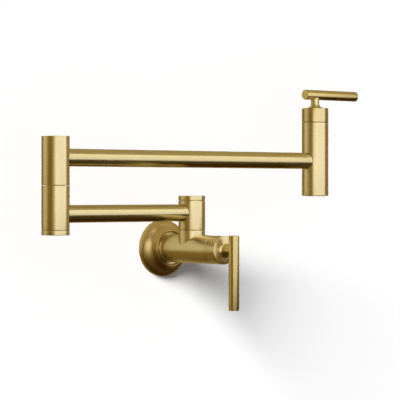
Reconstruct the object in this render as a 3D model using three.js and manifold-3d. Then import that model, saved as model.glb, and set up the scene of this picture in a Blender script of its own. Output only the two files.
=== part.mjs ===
// A wall mounted pot filler: a valve on the wall, two folding swing arms and a second valve at the outlet.
//
// Millimetres. x runs to the right along the wall, y into the wall, z up.
// The origin is the centre of the flange's back face, on the wall and on the axis of the wall valve.
// At rest the arms are folded flat along the wall, the wall lever hangs down and both valves are shut.

import * as THREE from "three";
import { mergeVertices } from "three/addons/utils/BufferGeometryUtils.js";
import Module from "manifold-3d";

const wasm = await Module();
wasm.setup();

// ---------------------------------------------------------------------------------------------
// Driving dimensions
// ---------------------------------------------------------------------------------------------

// Where the axes stand
const postFromWall = 56.2; // wall to the axis of the post
const bodySeamFromPost = 40.7; // axis of the post out to the seam between valve body and hub
const innerArmReach = 186; // post axis to elbow axis
const outerArmReach = 374.4; // elbow axis to outlet axis
const postStubHeight = 21.4; // axis of the valve body to the running joint of the post
const postPortRise = 19.4; // that joint to the axis of the inner arm
const elbowPortDrop = 30.4; // running joint of the elbow down to the axis of the inner arm
const outerArmRise = 29.8; // running joint of the elbow up to the axis of the outer arm

// Columns and tubes
const sleeveDiameter = 30;
const housingDiameter = 31.5; // valve body, outlet column and handle hubs
const tubeDiameter = 19.05;
const tubeWall = 1.1;
const postSleeveAbovePort = 13.85; // axis of the inner arm up to the post's cap
const elbowSleeveBelowPort = 17.2; // axis of the inner arm down to the elbow's cap
const capHeight = 5.3;
const elbowTopAbovePort = 22.6; // axis of the outer arm up to the elbow's closed top
const columnBelowPort = 41.4; // axis of the outer arm down to the foot of the outlet column
const seatBelowArm = 5.6; // axis of the outer arm down to the valve seat in the outlet column
const edgeBevel = 0.5; // bevelled edges; two of them make the groove at a joint
const tubeSeatDepth = 1.7; // how deep the saddle-cut tubes sit in the columns

// Wall flange
const flangeDiameter = 64.3;
const flangeRimDepth = 5.4;
const flangeShoulderWidth = 1; // rim to the corner that the round shoulder is drawn about
const flangeShoulderDepth = 8;
const flangeRoundWidth = 4.2; // rim to where the round shoulder turns into the hollow
const flangeRoundDepth = 10.3;
const flangeHollowWidth = 2.1; // collar to the corner that the hollow is drawn about
const flangeHollowDepth = 13.8;
const flangeCollarDiameter = 41.8;
const flangeCollarFlare = 0.3; // how far the collar widens into the hollow
const flangeCollarFoot = 17; // wall to the foot of the collar
const flangeCollarDepth = 19.4; // wall to the lip of the collar
const flangeLipWidth = 1.2;
const flangeCollarRecess = 6; // lip down to the floor inside the collar
const flangeFootWidth = 6; // outer edge of the back to the cavity
const flangeLandWidth = 2.8; // the part of it that bears on the wall
const flangeCavityDepth = 4.8; // wall to the outer edge of the cavity's ceiling
const flangeNeckDepth = 9.2; // where the cavity ends and the collar's bore starts
const gasketWidth = 2.6;
const gasketThickness = 1.2;
const flangeRingSection = 1.4;

// Supply and waterways
const inletFromWall = 1.5; // wall to the end face of the inlet socket
const inletBore = 19; // for a half inch tapered pipe thread
const inletBoreEnd = 18.1;
const inletSocketDepth = 15;
const waterwayDiameter = 10.4;
const armPortDiameter = 12;
const outletPortDiameter = 10;

// Swivels
const spigotDiameter = 21.4;
const spigotBore = 12;
const spigotRootDiameter = 19;
const spigotRootLength = 8;
const spigotRelief = 2.5; // depth of the water groove round the spigot
const spigotPortDiameter = 6.4;
const spigotPortCount = 4;
const ringSection = 1.6; // O-rings of the swivels
const ringFromJoint = 8; // joint to the first O-ring
const ringFromCap = 4.6; // cap joint back to the second O-ring
const studDiameter = 14;
const retainerDiameter = 24;
const retainerHeight = 4;
const retainerStand = 2.8; // cap joint back to the shoulder that the nut bears on
const retainerSlotWidth = 2;
const retainerSlotDepth = 1.6;
const capThreadDiameter = 26.8;
const capBore = 24.8;
const washerDiameter = 26.2;
const washerBore = 22.8;
const washerThickness = 0.9;
const elbowChamberDiameter = 16;
const elbowChamberAbovePort = 7;

// Valves, measured from the seat outwards along the spindle
const seatToSeam = 51.3; // seat to the seam between body and hub
const chamberDiameter = 19.2;
const chamberDepth = 22;
const bonnetThreadDiameter = 25.8;
const cartridgeDiameter = 17.2;
const cartridgeBore = 14.8;
const cartridgeNose = 1; // seat to the open end of the cartridge
const sealBore = 11.4;
const sealThickness = 2.8;
const discThickness = 3;
const discPortOuter = 10.6;
const discPortInner = 4.6;
const discPortAngle = 78; // degrees of each of the two ports
const discLugWidth = 3;
const discLugReach = 8.2; // spindle axis to the end of a lug
const driveWidth = 3; // tongue of the spindle in the slot of the moving disc
const driveLength = 11;
const driveDepth = 0.9;
const windowWidth = 8.4;
const windowHeight = 5.4;
const spindleCollarThickness = 2;
const cartridgeFlangeThickness = 2.2;
const cartridgeNeckDiameter = 15.6;
const cartridgeLength = 44; // seat to the outer end of the neck
const stemDiameter = 9.2;
const stemWaist = 6.4;
const stemRingAt = 31; // seat to the O-ring on the spindle
const stemRingSection = 1.2;
const splineDiameter = 8.4;
const splineRootDiameter = 7;
const splineTeeth = 12;
const splineLength = 15.5;
const bonnetNutThread = 9;
const bonnetNutHead = 6;
const bonnetNutAcrossFlats = 20;

// Handles, measured from the seam outwards
const hubHeight = 17.5;
const hubShell = 3.2;
const hubRecess = 4.8;
const hubBossDiameter = 16;
const hubBossStand = 1.2; // how far the boss stays behind the seam
const neckDiameter = 9.8;
const neckFlare = 4.7; // radius of the hollow flare from hub face to neck
const barDiameter = 11.7;
const barOffset = 15.2; // hub face to the axis of the bar
const barShortSide = 16.3;
const barLongSide = 65.7;
const barBevel = 0.5;
const barStudDiameter = 5;
const barStudDepth = 1.2; // how far the stud passes the axis of the bar
const setScrewDiameter = 4;
const setScrewLength = 6;
const setScrewSocket = 2;
const setScrewSocketDepth = 2;
const setScrewHeight = 7.4; // seam to the axis of the set screw

// Aerator
const aeratorThreadDiameter = 23.8;
const aeratorHeight = 11;
const aeratorProud = 0.5; // how far it shows below the column
const aeratorBore = 20;
const aeratorLipBore = 18.4;
const aeratorLipHeight = 1.2;
const insertHeight = 7.6;
const insertHoleSize = 2;
const insertHolePitch = 3.1;
const aeratorWasherBore = 14;
const aeratorWasherThickness = 2;

// Fits
const gap = 0.3; // clearance between pieces that bear on each other
const ringLift = 0.05; // how far an O-ring stands proud of its groove's land
const ringGroovePlay = 1.5; // width of an O-ring's groove, in sections of the ring

// Facets round a full turn
const fineFacets = 28;
const mediumFacets = 20;
const coarseFacets = 12;
const smallFacets = 6; // small holes and screws
const hexFacets = 6;
const ringSides = 5; // facets round the section of an O-ring
const curveSteps = 2; // facets along a curved edge
const flareSteps = 3;

// ---------------------------------------------------------------------------------------------
// Sizes that follow from them
// ---------------------------------------------------------------------------------------------

const sleeveRadius = sleeveDiameter / 2;
const housingRadius = housingDiameter / 2;
const tubeRadius = tubeDiameter / 2;
const spigotRadius = spigotDiameter / 2;
const postCapJoint = postPortRise + postSleeveAbovePort;
const elbowCapJoint = elbowPortDrop + elbowSleeveBelowPort;
const innerArmHeight = postStubHeight + postPortRise;
const elbowJointHeight = innerArmHeight + elbowPortDrop;
const outerArmHeight = elbowJointHeight + outerArmRise;
const seamFromWall = postFromWall + bodySeamFromPost;
const seatFromWall = seamFromWall - seatToSeam;
const barHeight = hubHeight + barOffset;
const ringGrooveWidth = ringSection * ringGroovePlay;
const ringGrooveRadius = spigotRadius + ringLift - ringSection - gap / 2;

const fixedDiscAt = gap + sealThickness + gap;
const movingDiscAt = fixedDiscAt + discThickness + gap;
const movingDiscTop = movingDiscAt + discThickness;
const windowAt = movingDiscTop + gap;
const spindleCollarAt = windowAt + windowHeight + gap * 2;
const shoulderAt = spindleCollarAt + spindleCollarThickness + gap;
const cartridgeFlangeAt = chamberDepth + gap;
const bonnetNutAt = cartridgeFlangeAt + cartridgeFlangeThickness + gap;
const splineAt = cartridgeLength + gap;
const spindleTop = splineAt + splineLength;

// ---------------------------------------------------------------------------------------------
// Shape helpers
// ---------------------------------------------------------------------------------------------

// Merges shared corners, drops triangles that have shrunk to a line and turns every face outwards.
function closedSurface(geometry) {
  geometry.deleteAttribute("normal");
  geometry.deleteAttribute("uv");
  const merged = mergeVertices(geometry);
  const corners = merged.index.array;
  const kept = [];
  for (let i = 0; i < corners.length; i += 3) {
    const [a, b, c] = [corners[i], corners[i + 1], corners[i + 2]];
    if (a !== b && b !== c && c !== a) kept.push(a, b, c);
  }
  if (enclosedVolume(merged.getAttribute("position"), kept) < 0) kept.reverse();
  merged.setIndex(kept);
  return merged;
}

// Six times the volume inside a closed surface, negative where its faces point inwards.
function enclosedVolume(position, corners) {
  const [a, b, c] = [new THREE.Vector3(), new THREE.Vector3(), new THREE.Vector3()];
  let total = 0;
  for (let i = 0; i < corners.length; i += 3) {
    a.fromBufferAttribute(position, corners[i]);
    b.fromBufferAttribute(position, corners[i + 1]);
    c.fromBufferAttribute(position, corners[i + 2]);
    total += a.dot(b.cross(c));
  }
  return total;
}

function toSolid(geometry) {
  const vertProperties = new Float32Array(geometry.getAttribute("position").array);
  const triVerts = new Uint32Array(geometry.index.array);
  return new wasm.Manifold(new wasm.Mesh({ numProp: 3, vertProperties, triVerts }));
}

function fromSolid(solid) {
  const mesh = solid.getMesh();
  const geometry = new THREE.BufferGeometry();
  geometry.setAttribute("position", new THREE.BufferAttribute(mesh.vertProperties, 3));
  geometry.setIndex(new THREE.BufferAttribute(mesh.triVerts, 1));
  return geometry;
}

function join(...pieces) {
  return fromSolid(pieces.map(toSolid).reduce((whole, piece) => whole.add(piece)));
}

function cut(base, ...tools) {
  return fromSolid(tools.map(toSolid).reduce((whole, tool) => whole.subtract(tool), toSolid(base)));
}

// Revolves a closed outline of [radius, height] corners about z.
function revolve(corners, facets) {
  const outline = corners.map(([radius, height]) => new THREE.Vector2(radius, height));
  outline.push(outline[0].clone());
  return closedSurface(new THREE.LatheGeometry(outline, facets).rotateX(Math.PI / 2));
}

// A round bar along z.
function rod(radius, from, to, facets) {
  return revolve([[0, from], [radius, from], [radius, to], [0, to]], facets);
}

// A washer or plain ring along z.
function ring(inner, outer, from, to, facets) {
  return revolve([[inner, from], [outer, from], [outer, to], [inner, to]], facets);
}

function box(width, depth, height) {
  return closedSurface(new THREE.BoxGeometry(width, depth, height));
}

function extrude(shape, from, to) {
  const options = { depth: to - from, bevelEnabled: false, curveSegments: curveSteps };
  return closedSurface(new THREE.ExtrudeGeometry(shape, options).translate(0, 0, from));
}

// Turns a piece that lies along z so that it lies along x, or along -x.
function alongX(geometry, side = 1) {
  return geometry.rotateY((side * Math.PI) / 2);
}

// The radius that a bore's corners need so that its flats clear a round of the given radius.
function boreRadius(radius, facets) {
  return radius / Math.cos(Math.PI / facets);
}

function oRing(radius, section, at, facets) {
  const geometry = new THREE.TorusGeometry(radius, section / 2, ringSides, facets);
  return closedSurface(geometry).translate(0, 0, at);
}

// ---------------------------------------------------------------------------------------------
// Materials
// ---------------------------------------------------------------------------------------------

function finish(color, roughness, metalness) {
  return () => new THREE.MeshStandardMaterial({ color, roughness, metalness });
}

const satinBrass = finish("#c9a766", 0.34, 1);
const plainBrass = finish("#b9964f", 0.45, 1);
const rubber = finish("#1b1b1c", 0.85, 0);
const acetal = finish("#ecebe4", 0.5, 0);
const ceramic = finish("#f3f1ec", 0.25, 0);
const steel = finish("#a9abad", 0.35, 1);

function place(parent, name, geometry, material) {
  const mesh = new THREE.Mesh(geometry, material());
  mesh.name = name;
  parent.add(mesh);
}

function frameAt(parent, x, y, z) {
  const group = new THREE.Group();
  group.position.set(x, y, z);
  parent.add(group);
  return group;
}

// ---------------------------------------------------------------------------------------------
// Wall flange: rim, round shoulder, hollow and collar, open behind, with its gasket and O-ring
// ---------------------------------------------------------------------------------------------

// The collar's bore, and the groove for the O-ring halfway along it.
const flangeBoreRadius = housingRadius + gap;
const flangeCollarFloor = flangeCollarDepth - flangeCollarRecess;
const flangeRingAt = (flangeNeckDepth + flangeCollarFloor) / 2;

function flangeFace() {
  const rim = flangeDiameter / 2;
  const round = rim - flangeRoundWidth;
  const collar = flangeCollarDiameter / 2;
  const foot = collar + flangeCollarFlare;
  const lip = flangeLipWidth / 2;
  const face = new THREE.Path();
  face.moveTo(rim, 0);
  face.lineTo(rim, flangeRimDepth);
  face.quadraticCurveTo(rim - flangeShoulderWidth, flangeShoulderDepth, round, flangeRoundDepth);
  face.quadraticCurveTo(collar + flangeHollowWidth, flangeHollowDepth, foot, flangeCollarFoot);
  face.lineTo(collar, flangeCollarDepth - lip);
  face.quadraticCurveTo(collar, flangeCollarDepth, collar - lip, flangeCollarDepth);
  face.quadraticCurveTo(collar - 2 * lip, flangeCollarDepth, collar - 2 * lip, flangeCollarDepth - lip);
  face.lineTo(collar - 2 * lip, flangeCollarFloor);
  return face.getPoints(curveSteps).map((point) => [point.x, point.y]);
}

function wallFlange() {
  const foot = flangeDiameter / 2 - flangeFootWidth;
  const land = flangeDiameter / 2 - flangeLandWidth;
  const bore = boreRadius(flangeBoreRadius, fineFacets);
  const ringHalf = flangeRingSection / 2 + gap;
  const ringGroove = bore + flangeRingSection + gap;
  return revolve(
    [
      ...flangeFace(),
      [bore, flangeCollarFloor],
      [bore, flangeRingAt + ringHalf],
      [ringGroove, flangeRingAt + ringHalf],
      [ringGroove, flangeRingAt - ringHalf],
      [bore, flangeRingAt - ringHalf],
      [bore, flangeNeckDepth],
      [foot, flangeCavityDepth],
      [foot, gasketThickness + gap],
      [land, gasketThickness + gap],
      [land, 0],
    ],
    fineFacets,
  );
}

// The gasket lies in the step inside the land, flush with it.
function wallGasket() {
  const outer = flangeDiameter / 2 - flangeLandWidth - gap;
  return ring(outer - gasketWidth, outer, 0, gasketThickness, fineFacets);
}

function flangeRing() {
  const radius = flangeBoreRadius + flangeRingSection / 2;
  return oRing(radius, flangeRingSection, flangeRingAt, fineFacets);
}

// ---------------------------------------------------------------------------------------------
// Saddle joints: a tube's end follows the round of the column that it enters
// ---------------------------------------------------------------------------------------------

// The pocket for a tube and the water port behind it, cut into a column on the given side.
function armSocket(columnRadius, portRadius, side) {
  const floor = rod(columnRadius - tubeSeatDepth, -columnRadius, columnRadius, fineFacets);
  const pocket = alongX(rod(tubeRadius + gap, 0, columnRadius * 2, mediumFacets), side);
  const port = alongX(rod(portRadius, 0, columnRadius, coarseFacets), side);
  return join(cut(pocket, floor), port);
}

// A tube along x between two column axes, saddle-cut to sit in the pockets of both columns.
function armTube(reach, startRadius, endRadius) {
  const outer = alongX(rod(tubeRadius, 0, reach, mediumFacets));
  const bore = alongX(rod(tubeRadius - tubeWall, -gap, reach + gap, mediumFacets));
  const start = rod(startRadius - tubeSeatDepth + gap, -tubeDiameter, tubeDiameter, fineFacets);
  const end = rod(endRadius - tubeSeatDepth + gap, -tubeDiameter, tubeDiameter, fineFacets);
  return cut(outer, bore, start, end.translate(reach, 0, 0));
}

// ---------------------------------------------------------------------------------------------
// Swivels, measured from the running joint: a ported spigot that a sleeve turns on
// ---------------------------------------------------------------------------------------------

function swivelSpigot(portAt, capJoint) {
  const land = spigotRadius;
  const ringEnds = [ringFromJoint, capJoint - ringFromCap].map((at) => [
    at - ringGrooveWidth / 2,
    at + ringGrooveWidth / 2,
  ]);
  const portHalf = armPortDiameter / 2;
  const relief = land - spigotRelief;
  const bore = spigotBore / 2;
  const grooveAt = ([from, to]) => [
    [land, from],
    [ringGrooveRadius, from],
    [ringGrooveRadius, to],
    [land, to],
  ];
  const turned = revolve(
    [
      [bore, gap - spigotRootLength],
      [spigotRootDiameter / 2, gap - spigotRootLength],
      [spigotRootDiameter / 2, gap / 2],
      [land, gap / 2],
      ...grooveAt(ringEnds[0]),
      [land, portAt - portHalf],
      [relief, portAt - portHalf],
      [relief, portAt + portHalf],
      [land, portAt + portHalf],
      ...grooveAt(ringEnds[1]),
      [land, capJoint - retainerStand],
      [studDiameter / 2, capJoint - retainerStand],
      [studDiameter / 2, capJoint - retainerStand + retainerHeight + gap * 2],
      [0, capJoint - retainerStand + retainerHeight + gap * 2],
      [0, portAt + portHalf],
      [bore, portAt + portHalf],
    ],
    coarseFacets,
  );
  const ports = [];
  for (let i = 0; i < spigotPortCount; i += 1) {
    const port = alongX(rod(spigotPortDiameter / 2, bore / 2, land, smallFacets));
    port.rotateZ(((i + 0.5) * 2 * Math.PI) / spigotPortCount);
    ports.push(port.translate(0, 0, portAt));
  }
  return cut(turned, ...ports);
}

function swivelRing(at) {
  return oRing(spigotRadius + ringLift - ringSection / 2, ringSection, at, coarseFacets);
}

function retainingNut(capJoint) {
  const foot = capJoint - retainerStand + gap;
  const radius = retainerDiameter / 2;
  const blank = ring(studDiameter / 2 + gap, radius, foot, foot + retainerHeight, coarseFacets);
  const slots = [0, 1].map((turn) => {
    const slot = box(retainerDiameter * 2, retainerSlotWidth, retainerSlotDepth * 2);
    return slot.rotateZ((turn * Math.PI) / 2).translate(0, 0, foot + retainerHeight);
  });
  return cut(blank, ...slots);
}

function thrustWasher() {
  const from = gap;
  return ring(washerBore / 2, washerDiameter / 2, from, from + washerThickness, coarseFacets);
}

// The turning sleeve, open at both ends, with the recess for the washer and the seat for the cap.
function swivelSleeve(portAt, capJoint, side) {
  const bore = boreRadius(spigotRadius + gap, fineFacets);
  const recess = boreRadius(washerDiameter / 2 + gap, fineFacets);
  const capSeat = boreRadius(capThreadDiameter / 2 + gap, fineFacets);
  const shoulder = capJoint - retainerStand;
  const turned = revolve(
    [
      [recess, gap / 2],
      [sleeveRadius - edgeBevel, gap / 2],
      [sleeveRadius, gap / 2 + edgeBevel],
      [sleeveRadius, capJoint - gap / 2 - edgeBevel],
      [sleeveRadius - edgeBevel, capJoint - gap / 2],
      [capSeat, capJoint - gap / 2],
      [capSeat, shoulder],
      [bore, shoulder],
      [bore, gap * 2 + washerThickness],
      [recess, gap * 2 + washerThickness],
    ],
    fineFacets,
  );
  return cut(turned, armSocket(sleeveRadius, armPortDiameter / 2, side).translate(0, 0, portAt));
}

// The cap closes the sleeve over the retaining nut.
function swivelCap(capJoint) {
  const bore = boreRadius(capBore / 2, fineFacets);
  const skirt = capJoint - retainerStand + gap;
  const ceiling = skirt + retainerHeight + gap * 2;
  return revolve(
    [
      [bore, skirt],
      [capThreadDiameter / 2, skirt],
      [capThreadDiameter / 2, capJoint + gap / 2],
      [sleeveRadius - edgeBevel, capJoint + gap / 2],
      [sleeveRadius, capJoint + gap / 2 + edgeBevel],
      [sleeveRadius, capJoint + capHeight - edgeBevel],
      [sleeveRadius - edgeBevel, capJoint + capHeight],
      [0, capJoint + capHeight],
      [0, ceiling],
      [bore, ceiling],
    ],
    fineFacets,
  );
}

function placeSwivel(parent, prefix, portAt, capJoint) {
  place(parent, `${prefix}_spigot`, swivelSpigot(portAt, capJoint), plainBrass);
  place(parent, `${prefix}_joint_o_ring`, swivelRing(ringFromJoint), rubber);
  place(parent, `${prefix}_cap_o_ring`, swivelRing(capJoint - ringFromCap), rubber);
  place(parent, `${prefix}_thrust_washer`, thrustWasher(), acetal);
  place(parent, `${prefix}_retaining_nut`, retainingNut(capJoint), plainBrass);
}

// The blind thread that a spigot's root is screwed into, open at the running joint.
function spigotSocket(passageRadius, passageLength) {
  const thread = boreRadius(spigotRootDiameter / 2 + gap, mediumFacets);
  return revolve(
    [
      [0, gap],
      [thread, gap],
      [thread, -spigotRootLength],
      [passageRadius, -spigotRootLength],
      [passageRadius, -spigotRootLength - passageLength],
      [0, -spigotRootLength - passageLength],
    ],
    mediumFacets,
  );
}

// ---------------------------------------------------------------------------------------------
// Quarter-turn ceramic disc valve, measured from the seat outwards
// ---------------------------------------------------------------------------------------------

// The room for the valve in a housing, from the seat to beyond the seam, and the waterway below it.
function valveChamber(waterwayLength) {
  const chamber = chamberDiameter / 2;
  const thread = boreRadius(bonnetThreadDiameter / 2, mediumFacets);
  return revolve(
    [
      [0, -waterwayLength],
      [waterwayDiameter / 2, -waterwayLength],
      [waterwayDiameter / 2, 0],
      [chamber, 0],
      [chamber, chamberDepth],
      [thread, chamberDepth],
      [thread, seatToSeam + gap],
      [0, seatToSeam + gap],
    ],
    mediumFacets,
  );
}

function seatSeal() {
  return ring(sealBore / 2, cartridgeBore / 2 - gap, gap, gap + sealThickness, coarseFacets);
}

// A disc with two opposite ports, each a sector of a ring.
function portedDisc(at) {
  const blank = rod(cartridgeBore / 2 - gap, at, at + discThickness, coarseFacets);
  const halfAngle = THREE.MathUtils.degToRad(discPortAngle) / 2;
  const ports = [Math.PI / 2, -Math.PI / 2].map((middle) => {
    const port = new THREE.Shape();
    port.absarc(0, 0, discPortOuter / 2, middle - halfAngle, middle + halfAngle, false);
    port.absarc(0, 0, discPortInner / 2, middle + halfAngle, middle - halfAngle, true);
    return extrude(port, at - gap, at + discThickness + gap);
  });
  return cut(blank, ...ports);
}

// Two lugs keep the fixed disc from turning.
function fixedDisc() {
  const lugs = [1, -1].map((side) => {
    const inner = discPortOuter / 2;
    const lug = box(discLugReach - inner, discLugWidth, discThickness);
    return lug.translate((side * (discLugReach + inner)) / 2, 0, fixedDiscAt + discThickness / 2);
  });
  return join(portedDisc(fixedDiscAt), ...lugs);
}

// The moving disc stands a quarter turn from the fixed one while the valve is shut.
function movingDisc() {
  const slot = box(driveLength + 2 * gap, driveWidth + 2 * gap, 2 * (driveDepth + gap));
  return cut(portedDisc(movingDiscAt), slot.translate(0, 0, movingDiscTop)).rotateZ(Math.PI / 2);
}

function cartridgeBody() {
  const outer = cartridgeDiameter / 2;
  const bore = boreRadius(cartridgeBore / 2, coarseFacets);
  const neckBore = boreRadius(stemDiameter / 2 + gap, coarseFacets);
  const flange = bonnetThreadDiameter / 2 - gap;
  const turned = revolve(
    [
      [bore, cartridgeNose],
      [outer, cartridgeNose],
      [outer, cartridgeFlangeAt],
      [flange, cartridgeFlangeAt],
      [flange, cartridgeFlangeAt + cartridgeFlangeThickness],
      [cartridgeNeckDiameter / 2, cartridgeFlangeAt + cartridgeFlangeThickness],
      [cartridgeNeckDiameter / 2, cartridgeLength],
      [neckBore, cartridgeLength],
      [neckBore, shoulderAt],
      [bore, shoulderAt],
    ],
    coarseFacets,
  );
  const window = box(windowWidth, cartridgeDiameter * 2, windowHeight);
  const notchHeight = fixedDiscAt + discThickness - cartridgeNose + gap;
  const notch = box(cartridgeDiameter * 2, discLugWidth + 2 * gap, notchHeight * 2);
  return cut(
    turned,
    window.translate(0, 0, windowAt + windowHeight / 2),
    notch.translate(0, 0, cartridgeNose),
  );
}

// Tongue, collar, stem with its O-ring groove, and the splines that carry the hub.
function spindle() {
  const stem = stemDiameter / 2;
  const grooveRadius = stem - stemRingSection - gap / 2;
  const grooveHalf = stemRingSection;
  const turned = revolve(
    [
      [0, movingDiscTop + gap / 2],
      [stemWaist / 2, movingDiscTop + gap / 2],
      [stemWaist / 2, spindleCollarAt],
      [cartridgeBore / 2 - gap, spindleCollarAt],
      [cartridgeBore / 2 - gap, spindleCollarAt + spindleCollarThickness],
      [stem, spindleCollarAt + spindleCollarThickness],
      [stem, stemRingAt - grooveHalf],
      [grooveRadius, stemRingAt - grooveHalf],
      [grooveRadius, stemRingAt + grooveHalf],
      [stem, stemRingAt + grooveHalf],
      [stem, splineAt],
      [0, splineAt],
    ],
    coarseFacets,
  );
  const tongue = box(driveLength, driveWidth, 2 * driveDepth);
  return join(
    turned,
    tongue.rotateZ(Math.PI / 2).translate(0, 0, movingDiscTop),
    extrude(splineOutline(0), splineAt - gap, spindleTop),
  );
}

// The star-shaped section of the splines, grown all round by a clearance.
function splineOutline(clearance) {
  const points = [];
  for (let i = 0; i < splineTeeth * 2; i += 1) {
    const radius = (i % 2 ? splineRootDiameter : splineDiameter) / 2 + clearance;
    const angle = (i * Math.PI) / splineTeeth;
    points.push(new THREE.Vector2(radius * Math.cos(angle), radius * Math.sin(angle)));
  }
  return new THREE.Shape(points);
}

function spindleRing() {
  const radius = (stemDiameter - stemRingSection) / 2 + ringLift;
  return oRing(radius, stemRingSection, stemRingAt, coarseFacets);
}

// The nut that holds the cartridge down on its flange.
function bonnetNut() {
  const bore = boreRadius(cartridgeNeckDiameter / 2 + gap, coarseFacets);
  const thread = bonnetThreadDiameter / 2 - gap;
  const top = bonnetNutAt + bonnetNutThread;
  const collar = ring(bore, thread, bonnetNutAt, top, coarseFacets);
  const cornerRadius = bonnetNutAcrossFlats / 2 / Math.cos(Math.PI / hexFacets);
  const head = ring(bore - gap / 2, cornerRadius, top - gap, top + bonnetNutHead, hexFacets);
  const throat = rod(bore, bonnetNutAt - gap, top + bonnetNutHead + gap, coarseFacets);
  return cut(join(collar, head), throat);
}

// ---------------------------------------------------------------------------------------------
// Handle, measured from the seam outwards, with the long side of its bar along x
// ---------------------------------------------------------------------------------------------

// Hub, hollow flare and neck turned in one piece, with a stud that the bar is screwed onto.
// The splines inside keep to the spindle, whichever way the handle is put on.
function handleHub(leverTurn) {
  const neck = neckDiameter / 2;
  const flare = [];
  for (let i = 0; i <= flareSteps; i += 1) {
    const angle = (i * Math.PI) / 2 / flareSteps;
    flare.push([
      neck + neckFlare * (1 - Math.sin(angle)),
      hubHeight + neckFlare * (1 - Math.cos(angle)),
    ]);
  }
  const turned = revolve(
    [
      [0, hubBossStand],
      [hubBossDiameter / 2, hubBossStand],
      [hubBossDiameter / 2, hubRecess],
      [housingRadius - hubShell, hubRecess],
      [housingRadius - hubShell, gap / 2],
      [housingRadius - edgeBevel, gap / 2],
      [housingRadius, gap / 2 + edgeBevel],
      [housingRadius, hubHeight - edgeBevel],
      [housingRadius - edgeBevel, hubHeight],
      ...flare,
      [neck, barHeight],
      [0, barHeight],
    ],
    fineFacets,
  );
  const saddle = handleBarBlank(barDiameter / 2 + gap);
  const stud = rod(
    barStudDiameter / 2,
    barHeight - barDiameter,
    barHeight + barStudDepth,
    coarseFacets,
  );
  const splineBore = extrude(splineOutline(gap), -gap, spindleTop - seatToSeam + gap);
  const screwHole = alongX(rod(setScrewDiameter / 2 + gap, 0, housingDiameter, smallFacets));
  splineBore.rotateZ(-leverTurn);
  const shaped = cut(turned, saddle, splineBore, screwHole.translate(0, 0, setScrewHeight));
  return join(shaped, stud);
}

// The bar's round body along x at the height of its axis.
function handleBarBlank(radius) {
  const blank = revolve(
    [
      [0, -barShortSide],
      [radius - barBevel, -barShortSide],
      [radius, barBevel - barShortSide],
      [radius, barLongSide - barBevel],
      [radius - barBevel, barLongSide],
      [0, barLongSide],
    ],
    mediumFacets,
  );
  return alongX(blank).translate(0, 0, barHeight);
}

function handleBar() {
  const hole = rod(
    barStudDiameter / 2 + gap,
    barHeight - barDiameter,
    barHeight + barStudDepth + gap,
    coarseFacets,
  );
  return cut(handleBarBlank(barDiameter / 2), hole);
}

// A cup-point grub screw between the hub's skin and the splines.
function setScrew() {
  const inner = splineDiameter / 2 + gap;
  const screw = rod(setScrewDiameter / 2, inner, inner + setScrewLength, smallFacets);
  const socket = rod(
    setScrewSocket / 2,
    inner + setScrewLength - setScrewSocketDepth,
    inner + setScrewLength + gap,
    hexFacets,
  );
  return alongX(cut(screw, socket)).translate(0, 0, setScrewHeight);
}

function placeValve(parent, prefix, leverTurn) {
  place(parent, `${prefix}_seat_seal`, seatSeal(), rubber);
  place(parent, `${prefix}_fixed_disc`, fixedDisc(), ceramic);
  place(parent, `${prefix}_moving_disc`, movingDisc(), ceramic);
  place(parent, `${prefix}_cartridge_body`, cartridgeBody(), plainBrass);
  place(parent, `${prefix}_bonnet_nut`, bonnetNut(), plainBrass);
  place(parent, `${prefix}_spindle`, spindle(), plainBrass);
  place(parent, `${prefix}_spindle_o_ring`, spindleRing(), rubber);
  const handle = frameAt(parent, 0, 0, seatToSeam);
  handle.rotation.z = leverTurn;
  place(handle, `${prefix}_handle_hub`, handleHub(leverTurn), satinBrass);
  place(handle, `${prefix}_handle_bar`, handleBar(), satinBrass);
  place(handle, `${prefix}_set_screw`, setScrew(), steel);
}

// ---------------------------------------------------------------------------------------------
// Valve body, measured from the wall outwards, with the post's stub along y
// ---------------------------------------------------------------------------------------------

function valveBody() {
  const face = seamFromWall - gap / 2;
  const barrel = revolve(
    [
      [0, inletFromWall],
      [housingRadius, inletFromWall],
      [housingRadius, face - edgeBevel],
      [housingRadius - edgeBevel, face],
      [0, face],
    ],
    fineFacets,
  );
  const stubTop = postStubHeight - gap / 2;
  const stub = revolve(
    [
      [0, 0],
      [sleeveRadius, 0],
      [sleeveRadius, stubTop - edgeBevel],
      [sleeveRadius - edgeBevel, stubTop],
      [0, stubTop],
    ],
    fineFacets,
  );
  const passageLength = postStubHeight - spigotRootLength - waterwayDiameter / 2;
  const socket = spigotSocket(spigotBore / 2, passageLength).translate(0, 0, postStubHeight);
  const chamber = valveChamber(seatFromWall - inletSocketDepth / 2).translate(0, 0, seatFromWall);
  const inlet = revolve(
    [
      [0, 0],
      [inletBore / 2, 0],
      [inletBore / 2, inletFromWall],
      [inletBoreEnd / 2, inletFromWall + inletSocketDepth],
      [0, inletFromWall + inletSocketDepth],
    ],
    mediumFacets,
  );
  const upright = (geometry) => geometry.rotateX(-Math.PI / 2).translate(0, 0, postFromWall);
  return cut(join(barrel, upright(stub)), chamber, upright(socket), inlet);
}

// ---------------------------------------------------------------------------------------------
// Elbow's upper sleeve and the outlet column
// ---------------------------------------------------------------------------------------------

// Measured from the running joint upwards; the spigot hangs from it.
function elbowUpperSleeve() {
  const top = outerArmRise + elbowTopAbovePort;
  const turned = revolve(
    [
      [0, gap / 2],
      [sleeveRadius - edgeBevel, gap / 2],
      [sleeveRadius, gap / 2 + edgeBevel],
      [sleeveRadius, top - edgeBevel],
      [sleeveRadius - edgeBevel, top],
      [0, top],
    ],
    fineFacets,
  );
  const chamberLength = outerArmRise + elbowChamberAbovePort - spigotRootLength;
  const socket = spigotSocket(elbowChamberDiameter / 2, chamberLength).rotateX(Math.PI);
  const arm = armSocket(sleeveRadius, armPortDiameter / 2, 1).translate(0, 0, outerArmRise);
  return cut(turned, socket, arm);
}

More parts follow.
